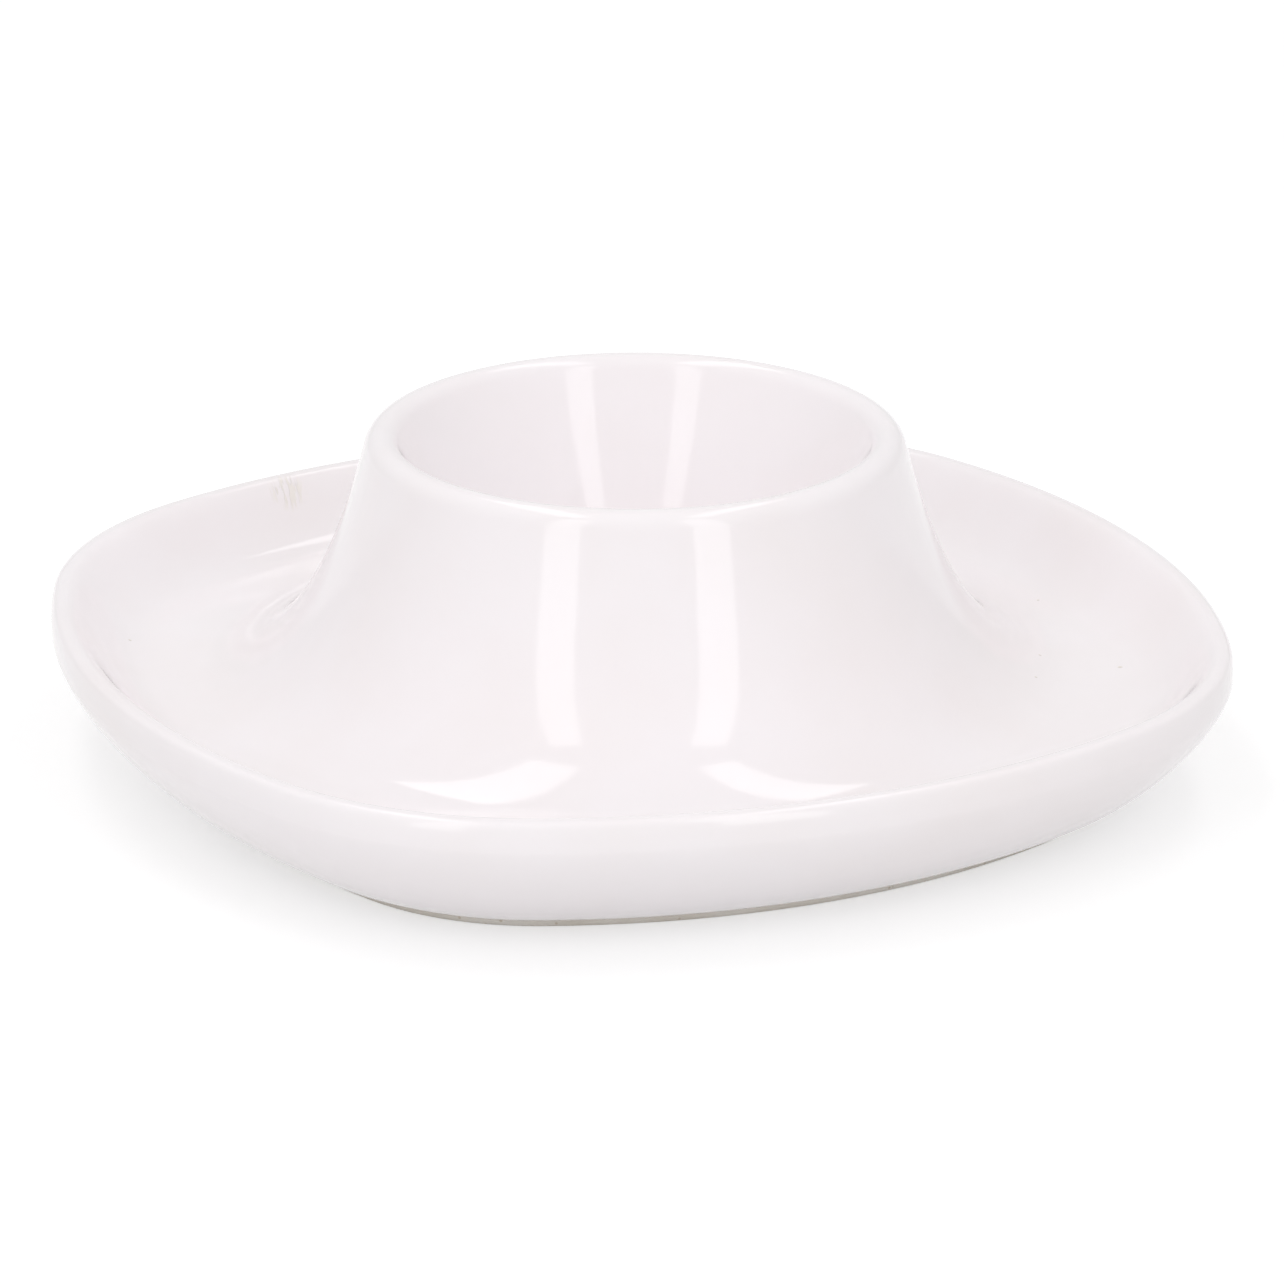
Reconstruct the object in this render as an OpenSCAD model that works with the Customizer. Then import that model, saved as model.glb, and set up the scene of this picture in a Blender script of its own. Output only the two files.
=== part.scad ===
// Glazed egg cup that rises from the middle of its own rounded-square saucer.
// It is one fired piece: an even-walled clay body, and the glaze that covers
// all of it but the foot ring that it stands on.
// Millimetres. The origin is on the table, under the middle of the cup.

/* [Saucer] */
// Width of the saucer, from one bowed side to the other
saucer_w = 116; // [112:1:126]
// Distance from the middle to a corner arc's centre, along X and along Y
corner_at = 18; // [15:0.5:20]
// Distance from the middle back to the centre of a bowed side's arc
bow_at = 25.2; // [22:0.6:36]
// Height of the rim's crest
rim_h = 15.7; // [14.5:0.1:18]
// Height at which the outer wall is widest
widest_h = 12.8; // [10:0.1:13.5]
// Distance that the wall draws in from there up to the crest
crest_in = 1.4; // [1:0.1:2]
// Distance that the wall tucks in from there down to the foot ring
tuck_in = 12.9; // [11:0.1:13.5]
// Width of the slope from the crest down into the well
slope_w = 8.6; // [7:0.1:9.5]
// Height of the well's floor
well_h = 9.2; // [8:0.1:10]
// Width of level floor between the slope and the cup, where it is narrowest
well_w = 3.2; // [2.4:0.1:5]

/* [Cup] */
// Height of the lip
cup_h = 35; // [32:0.5:40]
// Width of the mouth inside the lip
mouth_w = 47.3; // [44:0.1:50]
// Thickness of the lip
lip_t = 3.8; // [3:0.1:4.5]
// Height of the lip's rounding
lip_h = 2.2; // [1.4:0.1:2.6]
// Depth of the bowl that holds the egg
bowl_depth = 26; // [24:0.1:29]
// Lean of the cup's outside just below the lip, in degrees from upright
lean = 14; // [10:1:20]
// Lean of the bowl's wall just below the lip, in degrees from upright
bowl_lean = 26; // [20:1:28]

/* [Underside] */
// Thickness of the glazed wall, from the well or the bowl to the underside
wall_t = 3.8; // [3.4:0.1:4.2]
// Height at which the hollow under the cup starts to arch over
hollow_h = 20.5; // [16:0.1:21.5]
// Height of the foot ring below the tucked wall
foot_h = 0.9; // [0.7:0.1:1.3]
// Width of the foot ring
foot_w = 3; // [2.4:0.1:4]
// Rounding of the foot ring's edges
foot_r = 0.6; // [0.4:0.1:0.7]
// Rounding where the foot ring meets the underside
root_r = 1.5; // [1:0.1:1.8]
// Least gap between that rounding and the hollow under the cup
foot_gap = 0.3; // [0.3:0.1:1]

/* [Glaze] */
// Thickness of the fired glaze
glaze_t = 0.3; // [0.2:0.05:0.35]

/* [Hidden] */

$fn = 128;
clay_colour = "#e9e1d4";
glaze_colour = "#f7f2f3";
steps = 14;
overrun = 1;

// How full the wall's quarter curves are: 2 is an ellipse, more is squarer
brow_fullness = 3.7;
tuck_fullness = 1.36;
// Shares of each curve's run at which its two inner control points lie
slope_shares = [0.22, 0.6];
flare_shares = [0.57, 0.39];
bowl_shares = [0.55, 0.5];
// Share of the level floor that belongs to the rim, and again to the cup
floor_share = 1 / 3;
// Share of the hollow's height over which the underside eases into the flare
ease_share = 0.35;
// How far past the outline the planes between its arcs reach, as a multiple
seam_reach = 2.2;

corner_centre = [corner_at, corner_at];
bow_centre = [-bow_at, 0];
side_r = saucer_w / 2 + bow_at;
corner_r = side_r - norm(corner_centre - bow_centre);
slope_in = crest_in + slope_w;
floor_in = slope_in + well_w * floor_share;
foot_in = tuck_in + foot_w;
root_in = foot_in + root_r;
under_h = well_h - wall_t;
flare_r = saucer_w / 2 - slope_in - well_w;
cup_r = flare_r + well_w * floor_share;
hollow_r = saucer_w / 2 - root_in - foot_gap;
mouth_r = mouth_w / 2;
lip_r = mouth_r + lip_t / 2;
lip_mid_h = cup_h - lip_h;
bowl_h = cup_h - bowl_depth;
foot_top_h = (under_h + well_h) / 2;

// A cubic curve from a to d, drawn towards b and c
function bezier(a, b, c, d) = [
    for (i = [0 : steps])
        let (t = i / steps, s = 1 - t)
            pow(s, 3) * a + 3 * s * s * t * b + 3 * s * t * t * c + pow(t, 3) * d
];

// A quarter curve about a centre, between two turns in degrees
function quarter(centre, reach, fullness, from, to) = [
    for (i = [0 : steps])
        let (
            turn = from + (to - from) * i / steps,
            across = pow(sin(turn), 2 / fullness),
            up = pow(cos(turn), 2 / fullness)
        )
            centre + [reach.x * across, reach.y * up]
];

// An elliptical arc about a centre, between two turns in degrees
function arc(centre, reach, from, to) = [
    for (i = [0 : steps])
        let (turn = from + (to - from) * i / steps)
            centre + [reach.x * cos(turn), reach.y * sin(turn)]
];

// The line that lies a distance to the left of another, whose ends run level
function beside(line, distance) = [
    for (i = [0 : len(line) - 1])
        let (
            last = len(line) - 1,
            before = line[max(i - 1, 0)],
            after = line[min(i + 1, last)],
            rise = i == 0 || i == last ? 0 : after.y - before.y,
            run = [after.x - before.x, rise]
        )
            line[i] + distance * [-run.y, run.x] / norm(run)
];

function but_first(line) = [for (i = [1 : len(line) - 1]) line[i]];
function backwards(line) = [for (i = [len(line) - 1 : -1 : 0]) line[i]];
function crossing(line, height) = [lookup(height, [for (p = line) [p.y, p.x]]), height];
function inside(line, radius, height) = [for (p = line) if (p.x < radius && p.y < height) p];

// The rim's surface, from the foot ring up over the crest and down to the
// well: x is the distance in from the outline
rim_line = concat(
    quarter([tuck_in, widest_h], [-tuck_in, foot_h - widest_h], tuck_fullness, 0, 90),
    but_first(quarter([crest_in, widest_h], [-crest_in, rim_h - widest_h], brow_fullness, 90, 0)),
    but_first(bezier(
        [crest_in, rim_h],
        [crest_in + slope_w * slope_shares[0], rim_h],
        [slope_in - slope_w * slope_shares[1], well_h],
        [slope_in, well_h]
    )),
    [[floor_in, well_h]]
);
rim_clay_line = beside(rim_line, -glaze_t);
rim_back_line = [[floor_in, foot_top_h], [tuck_in, foot_top_h]];

// The cup's surface, from the well up the flare, over the lip and down the
// bowl to its middle: x is the radius
lip_turn = atan(tan(lean) * lip_h / (lip_t / 2));
lip_end_turn = 180 - atan(tan(bowl_lean) * lip_h / (lip_t / 2));
lip_line = arc([lip_r, lip_mid_h], [lip_t / 2, lip_h], lip_turn, lip_end_turn);
lip_end = lip_line[len(lip_line) - 1];
bowl_rise = lip_end.y - bowl_h;
flare_rise = lip_line[0].y - well_h;
flare_line = bezier(
    [flare_r, well_h],
    [flare_r - (flare_r - lip_line[0].x) * flare_shares[0], well_h],
    lip_line[0] + flare_rise * flare_shares[1] * [tan(lean), -1],
    lip_line[0]
);
bowl_line = bezier(
    lip_end,
    lip_end - bowl_rise * bowl_shares[0] * [tan(bowl_lean), 1],
    [mouth_r * bowl_shares[1], bowl_h],
    [0, bowl_h]
);
cup_line = concat([[cup_r, well_h]], flare_line, but_first(lip_line), but_first(bowl_line));
cup_clay_line = beside(cup_line, glaze_t);

// The underside's surface, from inside the foot ring up under the flare,
// over the arch and down round the bowl to its middle: x is the radius
flare_under_line = beside(flare_line, wall_t);
bowl_under_line = beside(bowl_line, wall_t);
ease_rise = (hollow_h - under_h) * ease_share;
ease_end = crossing(flare_under_line, under_h + ease_rise);
ease_next = crossing(flare_under_line, under_h + ease_rise + glaze_t);
ease_turn = [ease_end.x + (ease_end.x - ease_next.x) * ease_rise / glaze_t, under_h];
arch_from = crossing(flare_under_line, hollow_h);
arch_to = crossing(bowl_under_line, hollow_h);
arch_rise = (arch_from.x - arch_to.x) / 2;
arch_line = bezier(
    arch_from,
    2 * arch_from - crossing(flare_under_line, hollow_h - arch_rise),
    2 * arch_to - crossing(bowl_under_line, hollow_h - arch_rise),
    arch_to
);
ease_line = bezier([hollow_r, under_h], ease_turn, ease_turn, ease_end);
hollow_line = concat(
    [ease_line[0]],
    inside(ease_line, hollow_r, hollow_h),
    inside(flare_under_line, min(ease_end.x, hollow_r), hollow_h),
    arch_line,
    inside(bowl_under_line, hollow_r, hollow_h)
);
hollow_clay_line = beside(hollow_line, -glaze_t);

// The foot ring's inner side, from its bare foot up to the underside: x is the
// distance in from the outline
root_centre = [root_in, under_h - root_r];
root_line = concat([[foot_in, foot_h]], arc(root_centre, [root_r, root_r], 180, 90));
root_clay_r = root_r + glaze_t;
root_clay_line = concat(
    [[foot_in - glaze_t, foot_h]],
    arc(root_centre, [root_clay_r, root_clay_r], 180, 90)
);
foot_line = concat(
    [[root_in, foot_top_h], [tuck_in, foot_top_h]],
    arc([tuck_in + foot_r, foot_r], [foot_r, foot_r], 180, 270),
    arc([foot_in - foot_r, foot_r], [foot_r, foot_r], 270, 360),
    [[foot_in, foot_h]],
    root_clay_line
);

// The outline is four bowed sides and four corner arcs. Each pair of
// neighbours meets on the line through both centres, where they are tangent.
seam_end = bow_centre + (corner_centre - bow_centre) * seam_reach;
side_wedge = [bow_centre, [seam_end.x, -seam_end.y], seam_end];
corner_wedge = [corner_centre, seam_end, [seam_end.y, seam_end.x]];

module wedge(points) {
    translate([0, 0, -overrun])
        linear_extrude(rim_h + 2 * overrun)
            polygon(points);
}

// Runs a section round the outline, with its x as the distance in from it
module around_outline() {
    for (turn = [0 : 90 : 270])
        rotate(turn) {
            intersection() {
                translate(bow_centre)
                    rotate_extrude()
                        translate([side_r, 0])
                            mirror([1, 0])
                                children();
                wedge(side_wedge);
            }
            intersection() {
                translate(corner_centre)
                    rotate_extrude()
                        translate([corner_r, 0])
                            mirror([1, 0])
                                children();
                wedge(corner_wedge);
            }
        }
}

module outline(inset) {
    for (turn = [0 : 90 : 270])
        rotate(turn) {
            intersection() {
                translate(bow_centre)
                    circle(side_r - inset);
                polygon(side_wedge);
            }
            intersection() {
                translate(corner_centre)
                    circle(corner_r - inset);
                polygon(corner_wedge);
            }
        }
}

// A level sheet inside the outline, open round the middle
module sheet(inset, hole_r, from_h, to_h) {
    translate([0, 0, from_h])
        linear_extrude(to_h - from_h)
            difference() {
                outline(inset);
                circle(hole_r);
            }
}

module ceramic_body() {
    color(clay_colour) {
        around_outline()
            polygon(concat(rim_clay_line, rim_back_line));
        around_outline()
            polygon(foot_line);
        sheet(floor_in, cup_r, under_h + glaze_t, well_h - glaze_t);
        rotate_extrude()
            polygon(concat(cup_clay_line, backwards(hollow_clay_line), [[cup_r, under_h + glaze_t]]));
    }
}

module glaze_upper() {
    color(glaze_colour) {
        around_outline()
            polygon(concat(rim_line, backwards(rim_clay_line)));
        sheet(floor_in, cup_r, well_h - glaze_t, well_h);
        rotate_extrude()
            polygon(concat(cup_line, backwards(cup_clay_line)));
    }
}

module glaze_underside() {
    color(glaze_colour) {
        around_outline()
            polygon(concat(root_line, backwards(root_clay_line)));
        sheet(root_in, hollow_r, under_h, under_h + glaze_t);
        rotate_extrude()
            polygon(concat(hollow_line, backwards(hollow_clay_line)));
    }
}

ceramic_body();
glaze_upper();
glaze_underside();
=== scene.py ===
import math

import bpy
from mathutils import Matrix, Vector


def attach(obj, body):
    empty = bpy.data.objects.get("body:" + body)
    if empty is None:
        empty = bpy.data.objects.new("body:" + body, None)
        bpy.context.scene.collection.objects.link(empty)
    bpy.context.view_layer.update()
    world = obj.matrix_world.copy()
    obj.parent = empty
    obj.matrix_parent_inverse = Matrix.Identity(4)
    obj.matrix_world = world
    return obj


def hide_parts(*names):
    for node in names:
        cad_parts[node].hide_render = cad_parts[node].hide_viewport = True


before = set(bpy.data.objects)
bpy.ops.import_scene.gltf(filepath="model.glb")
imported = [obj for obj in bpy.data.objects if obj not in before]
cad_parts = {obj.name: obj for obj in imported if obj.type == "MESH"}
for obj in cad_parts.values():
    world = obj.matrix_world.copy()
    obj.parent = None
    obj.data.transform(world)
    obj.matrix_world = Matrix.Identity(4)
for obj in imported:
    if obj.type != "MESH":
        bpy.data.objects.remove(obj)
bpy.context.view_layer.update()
print("frame loaded:", ", ".join(sorted(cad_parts)))

mm = 0.001

# Sizes in millimetres, as in the CAD part. Shares say how far along a curve's run
# its two inner points lie; a fullness of 2 is an ellipse, and more is squarer.
saucer = {
    "width": 116,
    "cornerAt": 18,         # corner arc's centre, along X and along Y
    "bowAt": 25.2,          # from the middle back to the centre of a side's arc
    "rimHeight": 15.7,
    "widestHeight": 12.8,
    "crestIn": 1.4,         # from the widest line up to the crest
    "tuckIn": 12.9,         # and from there down to the foot ring
    "slopeWidth": 8.6,
    "slopeShares": (0.22, 0.6),
    "wellHeight": 9.2,
    "wellWidth": 3.2,       # level floor, where it is narrowest
    "browFullness": 3.7,
    "tuckFullness": 1.36,
}
cup = {
    "height": 35,
    "mouthWidth": 47.3,
    "lipThickness": 3.8,
    "lipHeight": 2.2,
    "bowlDepth": 26,
    "lean": 14,             # degrees from upright, just below the lip
    "bowlLean": 26,         # the same for the bowl's wall
    "flareShares": (0.57, 0.39),
    "bowlShares": (0.55, 0.5),
}
underside = {
    "wall": 3.8,
    "hollowHeight": 20.5,   # where the hollow under the cup starts to arch over
    "easeShare": 0.35,      # share of that height over which it eases into the flare
    "footHeight": 0.9,      # of the bare ring below the tucked wall
    "footWidth": 3,
    "rootRadius": 1.5,      # rounding between the foot ring and the underside
    "footGap": 0.3,         # between that rounding and the hollow
}
glaze = {
    "thickness": 0.3,
    "aroundSide": 34,       # faces along each bowed side
    "aroundCorner": 46,     # faces round each corner
    "stepsAlong": 28,       # faces along each curve of the section
    "stepsAtRoot": 8,       # faces along the rounding inside the foot ring
}


def bezier(a, b, c, d, steps):
    # cubic curve from a to d, drawn towards b and c
    line = []
    for i in range(steps + 1):
        t = i / steps
        s = 1 - t
        line.append(tuple(s**3 * a[k] + 3 * s * s * t * b[k] + 3 * s * t * t * c[k] + t**3 * d[k]
                          for k in (0, 1)))
    return line


def quarter(centre, reach, fullness, start, end, steps):
    # quarter curve that is squarer the fuller it is; turns in degrees
    line = []
    for i in range(steps + 1):
        turn = math.radians(start + (end - start) * i / steps)
        across = max(math.sin(turn), 0) ** (2 / fullness)
        up = max(math.cos(turn), 0) ** (2 / fullness)
        line.append((centre[0] + reach[0] * across, centre[1] + reach[1] * up))
    return line


def arc(centre, reach, start, end, steps):
    # arc of an ellipse; turns in degrees
    line = []
    for i in range(steps + 1):
        turn = math.radians(start + (end - start) * i / steps)
        line.append((centre[0] + reach[0] * math.cos(turn), centre[1] + reach[1] * math.sin(turn)))
    return line


def beside(line, distance):
    # the line that lies a distance to the left of another, whose ends run level
    last = len(line) - 1
    moved = []
    for i, (x, y) in enumerate(line):
        before, after = line[max(i - 1, 0)], line[min(i + 1, last)]
        run = after[0] - before[0]
        rise = 0 if i in (0, last) else after[1] - before[1]
        size = math.hypot(run, rise)
        moved.append((x - distance * rise / size, y + distance * run / size))
    return moved


def crossing(line, height):
    # radius at which a line passes a height
    for (x0, y0), (x1, y1) in zip(line, line[1:]):
        if (y0 - height) * (y1 - height) <= 0 and y0 != y1:
            return x0 + (x1 - x0) * (height - y0) / (y1 - y0)
    raise ValueError("the line doesn't reach that height")


def outlinePoints(inset):
    # the rounded-square outline, drawn in by an inset, as four sides and four corners
    c, b = saucer["cornerAt"], saucer["bowAt"]
    sideRadius = saucer["width"] / 2 + b
    cornerRadius = sideRadius - math.hypot(c + b, c)
    seamTurn = math.atan2(c, c + b)
    points = []
    for k in range(4):
        spin = math.pi / 2 * k
        for centre, radius, start, end, steps in (
            ((-b, 0), sideRadius, -seamTurn, seamTurn, glaze["aroundSide"]),
            ((c, c), cornerRadius, seamTurn, math.pi / 2 - seamTurn, glaze["aroundCorner"]),
        ):
            for i in range(steps):
                turn = start + (end - start) * i / steps
                x = centre[0] + (radius - inset) * math.cos(turn)
                y = centre[1] + (radius - inset) * math.sin(turn)
                points.append((x * math.cos(spin) - y * math.sin(spin),
                               x * math.sin(spin) + y * math.cos(spin)))
    return points


def rimRings(line):
    # a section whose x is the distance in from the outline, run round it
    return [[(x, y, height) for x, y in outlinePoints(inset)] for inset, height in line]


def turnedRings(line):
    # a section whose x is the radius, turned about the middle
    spins = [math.atan2(y, x) for x, y in outlinePoints(saucer["tuckIn"])]
    return [[(radius * math.cos(a), radius * math.sin(a), height) for a in spins]
            for radius, height in line]


def shellMesh(name, outer, inner):
    # closed shell between two runs of rings that both end at a middle point
    vertices, faces = [], []
    ringSize = len(outer[0])

    def addRings(rings, flip):
        first = len(vertices)
        for ring in rings[:-1]:
            vertices.extend(ring)
        vertices.append(rings[-1][0])
        middle = len(vertices) - 1
        for row in range(len(rings) - 2):
            for k in range(ringSize):
                a = first + row * ringSize + k
                b = first + row * ringSize + (k + 1) % ringSize
                face = (a, b, b + ringSize, a + ringSize)
                faces.append(face[::-1] if flip else face)
        lastRow = first + (len(rings) - 2) * ringSize
        for k in range(ringSize):
            face = (lastRow + k, lastRow + (k + 1) % ringSize, middle)
            faces.append(face[::-1] if flip else face)
        return first

    outerFirst = addRings(outer, False)
    innerFirst = addRings(inner, True)
    for k in range(ringSize):
        n = (k + 1) % ringSize
        faces.append((outerFirst + n, outerFirst + k, innerFirst + k, innerFirst + n))
    mesh = bpy.data.meshes.new(name)
    mesh.from_pydata([Vector(v) * mm for v in vertices], [], faces)
    mesh.validate()
    mesh.update()
    mesh.shade_smooth()
    piece = bpy.data.objects.new(name, mesh)
    bpy.context.scene.collection.objects.link(piece)
    return piece


# lines of the section, from the foot ring over the rim, the well and the lip to the bowl
n = glaze["stepsAlong"]
slopeIn = saucer["crestIn"] + saucer["slopeWidth"]
wellHeight = saucer["wellHeight"]
underHeight = wellHeight - underside["wall"]
footIn = saucer["tuckIn"] + underside["footWidth"]
flareRadius = saucer["width"] / 2 - slopeIn - saucer["wellWidth"]
rootIn = footIn + underside["rootRadius"]
hollowRadius = saucer["width"] / 2 - rootIn - underside["footGap"]
mouthRadius = cup["mouthWidth"] / 2
lipMiddle = cup["height"] - cup["lipHeight"]
bowlHeight = cup["height"] - cup["bowlDepth"]

rimLine = quarter((saucer["tuckIn"], saucer["widestHeight"]),
                  (-saucer["tuckIn"], underside["footHeight"] - saucer["widestHeight"]),
                  saucer["tuckFullness"], 0, 90, n)
rimLine += quarter((saucer["crestIn"], saucer["widestHeight"]),
                   (-saucer["crestIn"], saucer["rimHeight"] - saucer["widestHeight"]),
                   saucer["browFullness"], 90, 0, n)[1:]
rimLine += bezier((saucer["crestIn"], saucer["rimHeight"]),
                  (saucer["crestIn"] + saucer["slopeWidth"] * saucer["slopeShares"][0],
                   saucer["rimHeight"]),
                  (slopeIn - saucer["slopeWidth"] * saucer["slopeShares"][1], wellHeight),
                  (slopeIn, wellHeight), n)[1:]

lipTurn = math.degrees(math.atan(math.tan(math.radians(cup["lean"])) * cup["lipHeight"]
                                 / (cup["lipThickness"] / 2)))
lipEndTurn = 180 - math.degrees(math.atan(math.tan(math.radians(cup["bowlLean"]))
                                          * cup["lipHeight"] / (cup["lipThickness"] / 2)))
lipLine = arc((mouthRadius + cup["lipThickness"] / 2, lipMiddle),
              (cup["lipThickness"] / 2, cup["lipHeight"]), lipTurn, lipEndTurn, n)
lipEnd = lipLine[-1]
bowlRise = (lipEnd[1] - bowlHeight) * cup["bowlShares"][0]
flareTop = lipLine[0]
flareRise = (flareTop[1] - wellHeight) * cup["flareShares"][1]
flareLine = bezier((flareRadius, wellHeight),
                   (flareRadius - (flareRadius - flareTop[0]) * cup["flareShares"][0], wellHeight),
                   (flareTop[0] + flareRise * math.tan(math.radians(cup["lean"])),
                    flareTop[1] - flareRise),
                   flareTop, n)
bowlLine = bezier(lipEnd,
                  (lipEnd[0] - bowlRise * math.tan(math.radians(cup["bowlLean"])),
                   lipEnd[1] - bowlRise),
                  (mouthRadius * cup["bowlShares"][1], bowlHeight),
                  (0, bowlHeight), n)
cupLine = flareLine + lipLine[1:] + bowlLine[1:]

flareUnder = beside(flareLine, underside["wall"])
bowlUnder = beside(bowlLine, underside["wall"])
easeRise = (underside["hollowHeight"] - underHeight) * underside["easeShare"]
easeEnd = (crossing(flareUnder, underHeight + easeRise), underHeight + easeRise)
easeRun = easeEnd[0] - crossing(flareUnder, easeEnd[1] + glaze["thickness"])
easeTurn = (easeEnd[0] + easeRun * easeRise / glaze["thickness"], underHeight)
archHeight = underside["hollowHeight"]
archFrom = crossing(flareUnder, archHeight)
archTo = crossing(bowlUnder, archHeight)
archRise = (archFrom - archTo) / 2
hollowLine = bezier((hollowRadius, underHeight), easeTurn, easeTurn, easeEnd, n)
hollowLine += [p for p in flareUnder if p[0] < easeEnd[0] and p[1] < archHeight]
hollowLine += bezier((archFrom, archHeight),
                     (2 * archFrom - crossing(flareUnder, archHeight - archRise),
                      archHeight + archRise),
                     (2 * archTo - crossing(bowlUnder, archHeight - archRise),
                      archHeight + archRise),
                     (archTo, archHeight), n)
hollowLine += [p for p in bowlUnder if p[0] < hollowRadius and p[1] < archHeight]

rootLine = [(footIn, underside["footHeight"])]
rootSteps = glaze["stepsAtRoot"]
rootLine += arc((rootIn, underHeight - underside["rootRadius"]),
                (underside["rootRadius"], underside["rootRadius"]), 180, 90, rootSteps)
rootTurns = [0] + [math.pi / 2 * i / rootSteps for i in range(rootSteps + 1)]
thickness = glaze["thickness"]
rootClayLine = [(x - thickness * math.cos(turn), y + thickness * math.sin(turn))
                for (x, y), turn in zip(rootLine, rootTurns)]

upperGlaze = shellMesh(
    "upperGlaze",
    rimRings(rimLine) + turnedRings(cupLine),
    rimRings(beside(rimLine, -thickness)) + turnedRings(beside(cupLine, thickness)))
undersideGlaze = shellMesh(
    "undersideGlaze",
    [ring[::-1] for ring in rimRings(rootLine) + turnedRings(hollowLine)],
    [ring[::-1] for ring in rimRings(rootClayLine) + turnedRings(beside(hollowLine, -thickness))])
print("glaze shells built:", len(upperGlaze.data.vertices), "and",
      len(undersideGlaze.data.vertices), "points")

for piece, node in ((upperGlaze, "glaze_upper"), (undersideGlaze, "glaze_underside")):
    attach(piece, "root")
    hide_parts(node)


def linearColour(code):
    # sRGB hex to linear
    channels = [int(code[i:i + 2], 16) / 255 for i in (1, 3, 5)]
    return [c / 12.92 if c <= 0.04045 else ((c + 0.055) / 1.055) ** 2.4 for c in channels] + [1]


def addNode(owner, kind, settings=None, links=None):
    # adds a node; a setting's key is a socket's name or index, or else a property
    node = owner.node_tree.nodes.new(kind)
    for key, value in (settings or {}).items():
        if isinstance(key, int) or key in node.inputs:
            node.inputs[key].default_value = value
        else:
            setattr(node, key, value)
    for key, source in (links or {}).items():
        owner.node_tree.links.new(source, node.inputs[key])
    return node


def newMaterial(name):
    material = bpy.data.materials.new(name)
    material.use_nodes = True
    material.node_tree.nodes.clear()
    return material


def perMillimetre(size):
    # texture scale that gives features of a size in mm
    return 1000 / size


glazeLook = {
    "colour": "#fdf8fa",
    "pooled": "#fbf5f6",        # where it lies a little thicker
    "cloudSize": 22,
    "cloudSpan": (0.42, 0.68),  # noise values between which it turns
    "peelSize": 1.6,            # orange peel; a real one is finer, too fine to show
    "peelHeight": 0.003,
    "pinholeColour": "#ebe3da",
    "pinholes": (((45.77, -19.11, 9.21), 0.32), ((39.21, -13.95, 9.74), 0.22),
                 ((35.57, -20.28, 10), 0.2), ((47.32, 2.64, 9.2), 0.2),
                 ((-44.83, 27.68, 9.61), 0.24)),
    "pinholeCore": 0.4,         # share of its radius that is full depth
    "pinholeDepth": 0.02,
    "scuff": "#f7f1ec",
    "scuffAt": (-17.9, 53, 14.4),
    "scuffSize": 2.5,
    "scuffCore": 0.5,           # share of its size that is fully scuffed
    "strokeSize": 0.36,
    "strokeTurn": 25,           # degrees from the side's own direction
    "strokeDraw": 0.16,         # the smaller, the longer the strokes
    "strokeSpan": (0.5, 0.6),
    "strokeDepth": 0.05,
    "roughness": (0.07, 0.2),   # of the gloss, and within the scuff
}
# Tin-white glaze, fired once over the clay: glossy, faintly clouded where it
# pooled, with the pinholes that gas leaves and one dull scuff on the rim
glossWhiteGlaze = newMaterial("glossWhiteGlaze")
place = addNode(glossWhiteGlaze, "ShaderNodeTexCoord").outputs["Object"]
cloud = addNode(glossWhiteGlaze, "ShaderNodeTexNoise", {
    "Scale": perMillimetre(glazeLook["cloudSize"]), "Detail": 3, "Roughness": 0.5},
    {"Vector": place})
cloudShare = addNode(glossWhiteGlaze, "ShaderNodeMapRange", {
    "From Min": glazeLook["cloudSpan"][0], "From Max": glazeLook["cloudSpan"][1]},
    {"Value": cloud.outputs["Fac"]})
milk = addNode(glossWhiteGlaze, "ShaderNodeMix", {
    "data_type": "RGBA", 6: linearColour(glazeLook["colour"]),
    7: linearColour(glazeLook["pooled"])}, {0: cloudShare.outputs[0]})

# scuff: fine strokes down the slope, inside a small round patch
strokePlace = addNode(glossWhiteGlaze, "ShaderNodeMapping", {
    "Rotation": (0, 0, math.radians(glazeLook["strokeTurn"])),
    "Scale": (1, glazeLook["strokeDraw"], glazeLook["strokeDraw"])}, {"Vector": place})
strokes = addNode(glossWhiteGlaze, "ShaderNodeTexNoise", {
    "Scale": perMillimetre(glazeLook["strokeSize"]), "Detail": 2},
    {"Vector": strokePlace.outputs[0]})
strokeShare = addNode(glossWhiteGlaze, "ShaderNodeMapRange", {
    "From Min": glazeLook["strokeSpan"][0], "From Max": glazeLook["strokeSpan"][1]},
    {"Value": strokes.outputs["Fac"]})
scuffAway = addNode(glossWhiteGlaze, "ShaderNodeVectorMath", {
    "operation": "DISTANCE", 1: [v * mm for v in glazeLook["scuffAt"]]}, {0: place})
scuffPatch = addNode(glossWhiteGlaze, "ShaderNodeMapRange", {
    "From Min": glazeLook["scuffSize"] * mm,
    "From Max": glazeLook["scuffSize"] * mm * glazeLook["scuffCore"]},
    {"Value": scuffAway.outputs["Value"]})
scuffShare = addNode(glossWhiteGlaze, "ShaderNodeMath", {"operation": "MULTIPLY"},
                     {0: strokeShare.outputs[0], 1: scuffPatch.outputs[0]})
scuffed = addNode(glossWhiteGlaze, "ShaderNodeMix", {
    "data_type": "RGBA", 7: linearColour(glazeLook["scuff"])},
    {0: scuffShare.outputs[0], 6: milk.outputs[2]})

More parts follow.
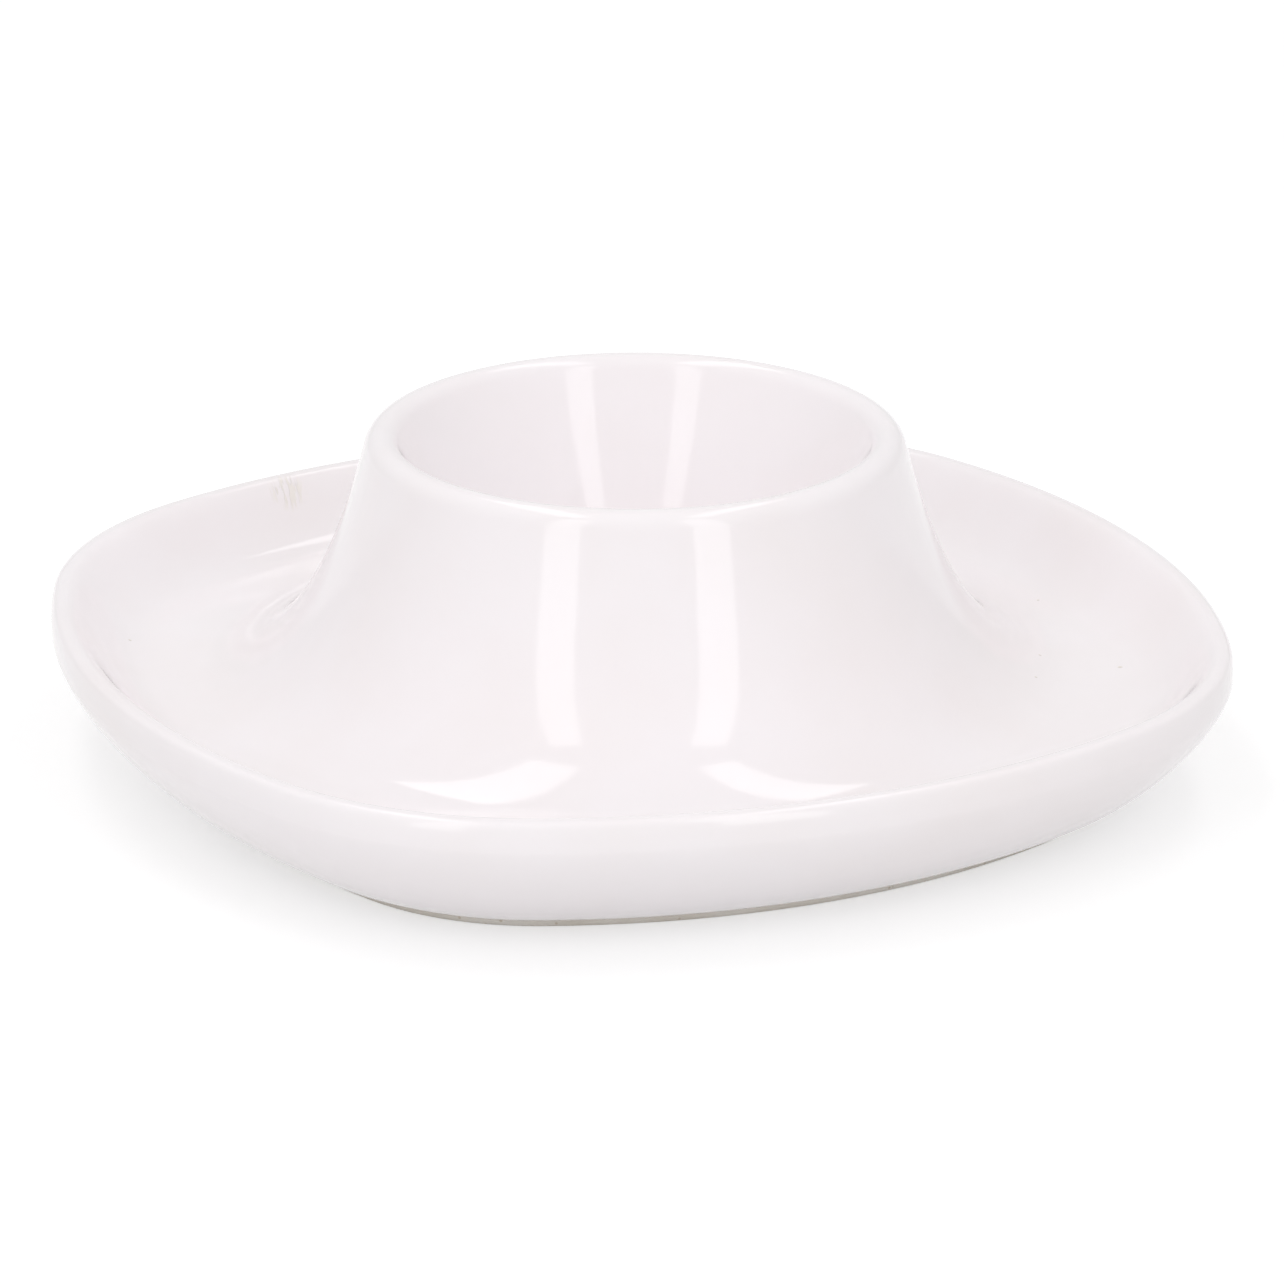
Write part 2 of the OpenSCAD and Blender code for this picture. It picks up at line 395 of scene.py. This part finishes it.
# pinholes: the share rises to 1 inside each hole
holes = None
for centre, radius in glazeLook["pinholes"]:
    away = addNode(glossWhiteGlaze, "ShaderNodeVectorMath", {
        "operation": "DISTANCE", 1: [v * mm for v in centre]}, {0: place})
    hole = addNode(glossWhiteGlaze, "ShaderNodeMapRange", {
        "From Min": radius * mm, "From Max": radius * mm * glazeLook["pinholeCore"]},
        {"Value": away.outputs["Value"]})
    if holes:
        hole = addNode(glossWhiteGlaze, "ShaderNodeMath", {"operation": "MAXIMUM"},
                       {0: holes.outputs[0], 1: hole.outputs[0]})
    holes = hole
glazeColour = addNode(glossWhiteGlaze, "ShaderNodeMix", {
    "data_type": "RGBA", 7: linearColour(glazeLook["pinholeColour"])},
    {0: holes.outputs[0], 6: scuffed.outputs[2]})
gloss = addNode(glossWhiteGlaze, "ShaderNodeMapRange", {
    "To Min": glazeLook["roughness"][0], "To Max": glazeLook["roughness"][1]},
    {"Value": scuffShare.outputs[0]})

peel = addNode(glossWhiteGlaze, "ShaderNodeTexNoise", {
    "Scale": perMillimetre(glazeLook["peelSize"]), "Detail": 1}, {"Vector": place})
peelBump = addNode(glossWhiteGlaze, "ShaderNodeBump", {
    "Strength": 1, "Distance": glazeLook["peelHeight"] * mm}, {"Height": peel.outputs["Fac"]})
scuffBump = addNode(glossWhiteGlaze, "ShaderNodeBump", {
    "invert": True, "Strength": 1, "Distance": glazeLook["strokeDepth"] * mm},
    {"Height": scuffShare.outputs[0], "Normal": peelBump.outputs[0]})
holeBump = addNode(glossWhiteGlaze, "ShaderNodeBump", {
    "invert": True, "Strength": 1, "Distance": glazeLook["pinholeDepth"] * mm},
    {"Height": holes.outputs[0], "Normal": scuffBump.outputs[0]})
glazeShader = addNode(glossWhiteGlaze, "ShaderNodeBsdfPrincipled", {"IOR": 1.5}, {
    "Base Color": glazeColour.outputs[2], "Roughness": gloss.outputs[0],
    "Normal": holeBump.outputs[0]})
addNode(glossWhiteGlaze, "ShaderNodeOutputMaterial", {}, {"Surface": glazeShader.outputs[0]})

clayLook = {
    "colour": "#f1ece4",
    "tan": "#e8e1d6",           # iron in the clay, in small clouds
    "dark": "#d6cbbb",
    "cloudSize": 7,
    "cloudSpan": (0.4, 0.7),
    "speckSize": 1.3,           # width of a cell that holds one speck
    "speckSpan": (0.16, 0.08),  # shares of it, from a speck's edge to its middle
    "grainSize": 0.5,           # coarser than the real grain, to show
    "grainHeight": 0.03,
    "grainStrength": 0.6,
    "roughness": (0.78, 0.92),
}
# Whitish earthenware, wiped clean of glaze on the foot ring: matt and finely
# grained, with a few darker specks
bareEarthenware = newMaterial("bareEarthenware")
place = addNode(bareEarthenware, "ShaderNodeTexCoord").outputs["Object"]
cloud = addNode(bareEarthenware, "ShaderNodeTexNoise", {
    "Scale": perMillimetre(clayLook["cloudSize"]), "Detail": 4}, {"Vector": place})
cloudShare = addNode(bareEarthenware, "ShaderNodeMapRange", {
    "From Min": clayLook["cloudSpan"][0], "From Max": clayLook["cloudSpan"][1]},
    {"Value": cloud.outputs["Fac"]})
body = addNode(bareEarthenware, "ShaderNodeMix", {
    "data_type": "RGBA", 6: linearColour(clayLook["colour"]), 7: linearColour(clayLook["tan"])},
    {0: cloudShare.outputs[0]})
cells = addNode(bareEarthenware, "ShaderNodeTexVoronoi", {
    "Scale": perMillimetre(clayLook["speckSize"])}, {"Vector": place})
specks = addNode(bareEarthenware, "ShaderNodeMapRange", {
    "From Min": clayLook["speckSpan"][0], "From Max": clayLook["speckSpan"][1]},
    {"Value": cells.outputs["Distance"]})
clayColour = addNode(bareEarthenware, "ShaderNodeMix", {
    "data_type": "RGBA", 7: linearColour(clayLook["dark"])},
    {0: specks.outputs[0], 6: body.outputs[2]})
grain = addNode(bareEarthenware, "ShaderNodeTexNoise", {
    "Scale": perMillimetre(clayLook["grainSize"]), "Detail": 2}, {"Vector": place})
grainBump = addNode(bareEarthenware, "ShaderNodeBump", {
    "Strength": clayLook["grainStrength"], "Distance": clayLook["grainHeight"] * mm},
    {"Height": grain.outputs["Fac"]})
clayRough = addNode(bareEarthenware, "ShaderNodeMapRange", {
    "To Min": clayLook["roughness"][0], "To Max": clayLook["roughness"][1]},
    {"Value": grain.outputs["Fac"]})
clayShader = addNode(bareEarthenware, "ShaderNodeBsdfPrincipled", {}, {
    "Base Color": clayColour.outputs[2], "Roughness": clayRough.outputs[0],
    "Normal": grainBump.outputs[0]})
addNode(bareEarthenware, "ShaderNodeOutputMaterial", {}, {"Surface": clayShader.outputs[0]})

for piece in (upperGlaze, undersideGlaze):
    piece.data.materials.append(glossWhiteGlaze)
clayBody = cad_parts["ceramic_body"]
for slot in clayBody.material_slots:
    slot.material = bareEarthenware
print("materials set")

# The studio is in metres
studio = {
    "floorSize": 4.0,
    "floorDrop": 0.00004,       # below the foot, so that no two faces share a plane
    "floorBounce": "#e9e9e9",   # what the sweep gives back to the object
    "floorGlow": 0.02,          # light that comes up through it
    "paper": 0.55,              # how much of the floor's seen white is lit, and keeps the shadow
    "paperLift": 0.55,          # and how much glows
    "air": 0.725,               # brightness of the tent at the horizon
    "airAbove": 0.145,          # what it gains straight overhead
    "airRight": -0.06,          # and to the camera's right
}
# softboxes, placed by the way they lie from the camera's own direction
softboxes = {
    "leftStrip": {"way": -29, "out": 0.62, "height": 0.355, "size": (0.16, 1.11), "radiance": 1.7},
    "rightStrip": {"way": 31, "out": 0.62, "height": 0.355, "size": (0.16, 1.11), "radiance": 1.83},
}
overheads = {
    "leftOverhead": {"side": -0.26, "near": 0.3, "far": -0.58, "height": 0.85, "width": 0.18,
                     "radiance": 2.1},
    "rightOverhead": {"side": 0.265, "near": 0.29, "far": -0.58, "height": 0.85, "width": 0.13,
                      "radiance": 2.1},
}
# metres; the lens and the sensor in millimetres, the shift in widths of the frame
cameraAt = {"azimuth": -23.35, "elevation": 19.738, "distance": 0.670, "target": 0.013385,
            "lens": 184.26, "sensor": 36, "shift": (0.005475, -0.00892), "clip": (0.05, 20)}


def backdropSeen(owner):
    # 1 where the backdrop is looked at, straight, mirrored or through glass
    path = addNode(owner, "ShaderNodeLightPath")
    straight = addNode(owner, "ShaderNodeMath", {"use_clamp": True},
                       {0: path.outputs["Is Camera Ray"], 1: path.outputs["Is Glossy Ray"]})
    return addNode(owner, "ShaderNodeMath", {"use_clamp": True},
                   {0: straight.outputs[0], 1: path.outputs["Is Transmission Ray"]}).outputs[0]


floorMesh = bpy.data.meshes.new("floor")
reach = studio["floorSize"] / 2
floorMesh.from_pydata([(-reach, -reach, 0), (reach, -reach, 0), (reach, reach, 0),
                       (-reach, reach, 0)], [], [(0, 1, 2, 3)])
floor = bpy.data.objects.new("floor", floorMesh)
bpy.context.scene.collection.objects.link(floor)
whiteSweep = newMaterial("whiteSweep")
bounce = addNode(whiteSweep, "ShaderNodeBsdfDiffuse", {
    "Color": linearColour(studio["floorBounce"])})
paper = addNode(whiteSweep, "ShaderNodeBsdfDiffuse", {"Color": [studio["paper"]] * 3 + [1]})
lift = addNode(whiteSweep, "ShaderNodeEmission", {"Strength": studio["paperLift"]})
white = addNode(whiteSweep, "ShaderNodeAddShader", {}, {0: paper.outputs[0], 1: lift.outputs[0]})
glow = addNode(whiteSweep, "ShaderNodeEmission", {"Strength": studio["floorGlow"]})
under = addNode(whiteSweep, "ShaderNodeAddShader", {}, {0: bounce.outputs[0], 1: glow.outputs[0]})
sweepShader = addNode(whiteSweep, "ShaderNodeMixShader", {},
                      {0: backdropSeen(whiteSweep), 1: under.outputs[0], 2: white.outputs[0]})
addNode(whiteSweep, "ShaderNodeOutputMaterial", {}, {"Surface": sweepShader.outputs[0]})
floorMesh.materials.append(whiteSweep)
floor.location.z = -studio["floorDrop"]


def wayTo(azimuth, elevation):
    # unit vector; the azimuth in degrees from -Y, the elevation above the table
    a, e = math.radians(azimuth), math.radians(elevation)
    return Vector((math.sin(a) * math.cos(e), -math.cos(a) * math.cos(e), math.sin(e)))


toCamera = wayTo(cameraAt["azimuth"], 0)
toRight = wayTo(cameraAt["azimuth"] + 90, 0)
world = bpy.data.worlds.new("studioAir")
world.use_nodes = True
bpy.context.scene.world = world
world.node_tree.nodes.clear()
direction = addNode(world, "ShaderNodeTexCoord")
slant = addNode(world, "ShaderNodeVectorMath", {
    "operation": "DOT_PRODUCT",
    1: toRight * studio["airRight"] + Vector((0, 0, studio["airAbove"]))},
    {0: direction.outputs["Generated"]})
level = addNode(world, "ShaderNodeMath", {1: studio["air"]}, {0: slant.outputs["Value"]})
air = addNode(world, "ShaderNodeBackground", {}, {"Strength": level.outputs[0]})
backdrop = addNode(world, "ShaderNodeBackground")
choose = addNode(world, "ShaderNodeMixShader", {},
                 {0: backdropSeen(world), 1: air.outputs[0], 2: backdrop.outputs[0]})
addNode(world, "ShaderNodeOutputWorld", {}, {"Surface": choose.outputs[0]})


def softbox(name, centre, facing, size, radiance):
    # area lamp whose face is equally bright at any size
    data = bpy.data.lights.new(name, "AREA")
    data.shape = "RECTANGLE"
    data.size, data.size_y = size
    data.energy = radiance * math.pi * size[0] * size[1]
    lamp = bpy.data.objects.new(name, data)
    lamp.location = centre
    lamp.rotation_euler = (-facing).to_track_quat("-Z", "Y").to_euler()
    bpy.context.scene.collection.objects.link(lamp)
    return lamp


for name, box in softboxes.items():
    way = wayTo(cameraAt["azimuth"] + box["way"], 0)
    centre = way * box["out"] + Vector((0, 0, box["height"]))
    softbox(name, centre, way, box["size"], box["radiance"])
for name, box in overheads.items():
    centre = (toRight * box["side"] + toCamera * (box["near"] + box["far"]) / 2
              + Vector((0, 0, box["height"])))
    lamp = softbox(name, centre, Vector((0, 0, 1)), (box["width"], box["near"] - box["far"]),
                   box["radiance"])
    lamp.rotation_euler = (0, 0, math.radians(cameraAt["azimuth"]))

cameraData = bpy.data.cameras.new("camera")
camera = bpy.data.objects.new("camera", cameraData)
bpy.context.scene.collection.objects.link(camera)
bpy.context.scene.camera = camera
back = wayTo(cameraAt["azimuth"], cameraAt["elevation"])
camera.location = Vector((0, 0, cameraAt["target"])) + back * cameraAt["distance"]
camera.rotation_euler = (-back).to_track_quat("-Z", "Y").to_euler()
cameraData.sensor_width = cameraAt["sensor"]
cameraData.lens = cameraAt["lens"]
cameraData.shift_x, cameraData.shift_y = cameraAt["shift"]
cameraData.clip_start, cameraData.clip_end = cameraAt["clip"]
bpy.context.scene.view_settings.view_transform = "Standard"
print("studio and camera set")
